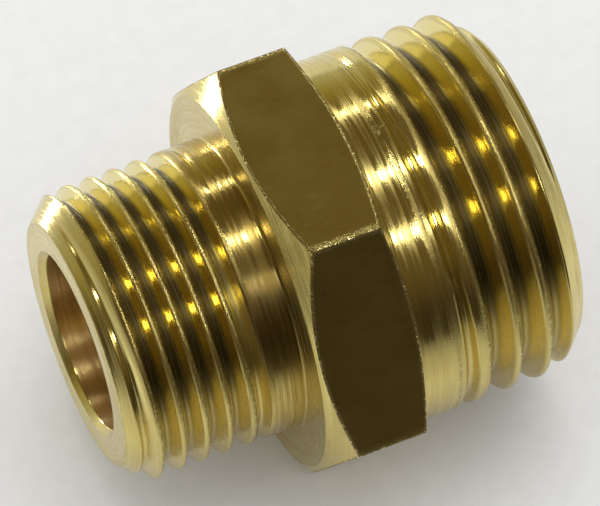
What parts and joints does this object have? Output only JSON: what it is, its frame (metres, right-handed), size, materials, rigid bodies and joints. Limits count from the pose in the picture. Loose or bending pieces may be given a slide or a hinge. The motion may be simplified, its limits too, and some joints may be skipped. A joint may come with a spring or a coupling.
{
  "type": "hex nipple",
  "caption": "Reducing hex nipple: a one-piece brass pipe fitting with a hexagon between a smaller and a larger male parallel pipe thread, and a straight through bore.",
  "frame": {"origin": "on the axis of the through bore, half way along the hexagon", "axes": "+X along the bore towards the large (G 1/2) thread, +Z square to a hexagon flat, so the fitting lies on the flat facing -Z; hexagon corners on +Y and -Y"},
  "size_m": [0.0261, 0.0254, 0.022],
  "materials": {
    "brass": "bright turned"
  },
  "bodies": {
    "root": {"hex_nipple_body": "brass"}
  },
  "joints": []
}
